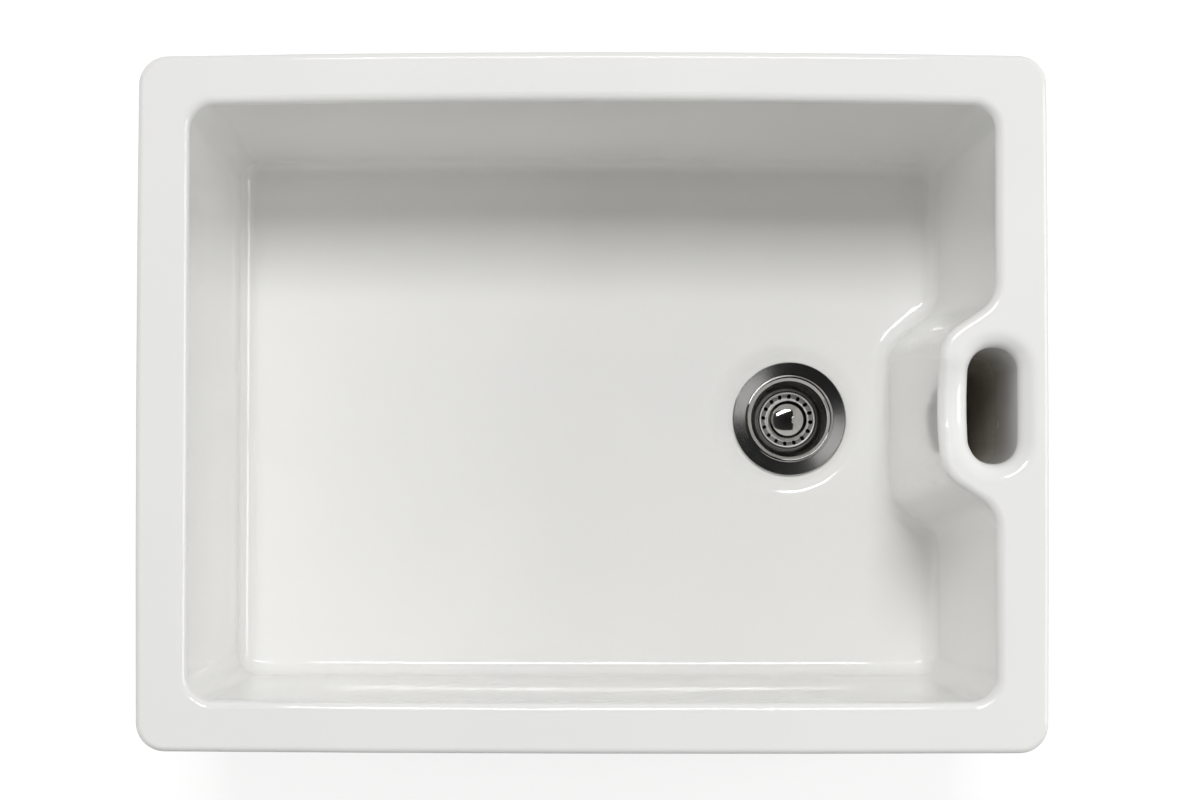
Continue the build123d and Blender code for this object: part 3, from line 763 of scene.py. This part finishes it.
# radius, height and corner rounding, from the foot up over the dome
KNOB_SECTION = [
    (0, knob_low.z, 0), (FOOT, knob_low.z, 0), (FOOT, knob_low.z + FOOT_RISE, FOOT_RISE / 2),
    (NECK, knob_low.z + FOOT_RISE + NECK_RISE, 1.0), (NECK, rim_top - KNOB_RIM - NECK_RISE, 1.0),
    (HEAD, rim_top - KNOB_RIM, 0.9), (HEAD, rim_top, KNOB_RIM / 2),
    (dome * DOME_RISE / HEAD, knob_high.z, dome - KNOB_RIM), (0, knob_high.z, 0),
]
turning = bmesh.new()
chain_of(turning, KNOB_SECTION, KNOB_SEGMENTS)
spin_round(turning, SPIN_STEPS)
bmesh.ops.remove_doubles(turning, verts=turning.verts[:], dist=WELD)
bmesh.ops.recalc_face_normals(turning, faces=turning.faces[:])
shade_turned(turning)
knob = object_from("domed_knob", turning, bright_steel)
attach(knob, "plug")
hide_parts("strainer_knob")
print("knob:", len(knob.data.polygons), "faces")

# %% [markdown]
# ## Light for the waste
# A brushed flange is a poor mirror, but it still mirrors: it shows the dark room with two soft wedges,
# where it catches two small lamps hung on either side of the camera. A long lamp behind the back wall
# draws the bright arcs on the lip and the knob, and a wide one overhead lifts the satin strainer. The
# strong soft box that draws lines on the glaze would flood the metal. In a studio boards keep each lamp
# where it belongs, and light linking does that here.

# %% Lamps for the metal alone
basket = nodes_of_sink["strainer_basket"]
LAMP_TARGET = (WASTE_AXIS[0], 0, 0.04)
# place and size in metres, power in watts, and the pieces that a lamp lights
METAL_LAMPS = {
    "lamp_behind": ((-0.03, 0.36, 2.4), (0.46, 0.46), 0.55, [turned_waste, basket]),
    "lamp_right": ((0.82, -0.11, 2.4), (0.46, 0.46), 0.55, [turned_waste, basket]),
    "lamp_low": ((-0.49, 1.58, 2.3), (2.9, 0.45), 24.0, [turned_waste, basket, knob]),
    "lamp_over": ((0.15, 0.3, 2.4), (2.2, 2.2), 16.0, [basket]),
}


def flag(lamp, state, pieces):
    """Links a lamp to some pieces alone, or keeps it off them."""
    group = bpy.data.collections.new(lamp.name + "_flag")
    for piece in pieces:
        group.objects.link(piece)
    for member in group.collection_objects:
        member.light_linking.link_state = state
    lamp.light_linking.receiver_collection = group


flag(boxes["soft_box_shine"], "EXCLUDE", [turned_waste, basket, knob])
for name, (place, size, power, pieces) in METAL_LAMPS.items():
    lamp = soft_box(name, place, LAMP_TARGET, size, power)
    lamp.visible_diffuse = False
    flag(lamp, "INCLUDE", pieces)
print("lamps for the metal:", ", ".join(METAL_LAMPS))

# %% [markdown]
# ## Dress the CAD pieces
# The other pieces are shown as the CAD made them, so each only takes its finish.

# %% Finishes by piece
FINISH_OF = {
    "sink_bowl": glaze, "flange_washer": rubber, "base_washer": rubber, "slip_washer": nylon,
    "backnut": plain_brass, "stem_guide": acetal, "guide_clip": spring_steel, "plug_seal": rubber,
    "seal_plate": stainless, "stem_nut": plain_brass, "plug_stem": stainless, "stem_ring": rubber,
    "strainer_basket": satin_steel,
}
for name, finish in FINISH_OF.items():
    nodes_of_sink[name].data.materials.clear()
    nodes_of_sink[name].data.materials.append(finish)
print("dressed", len(FINISH_OF), "pieces")
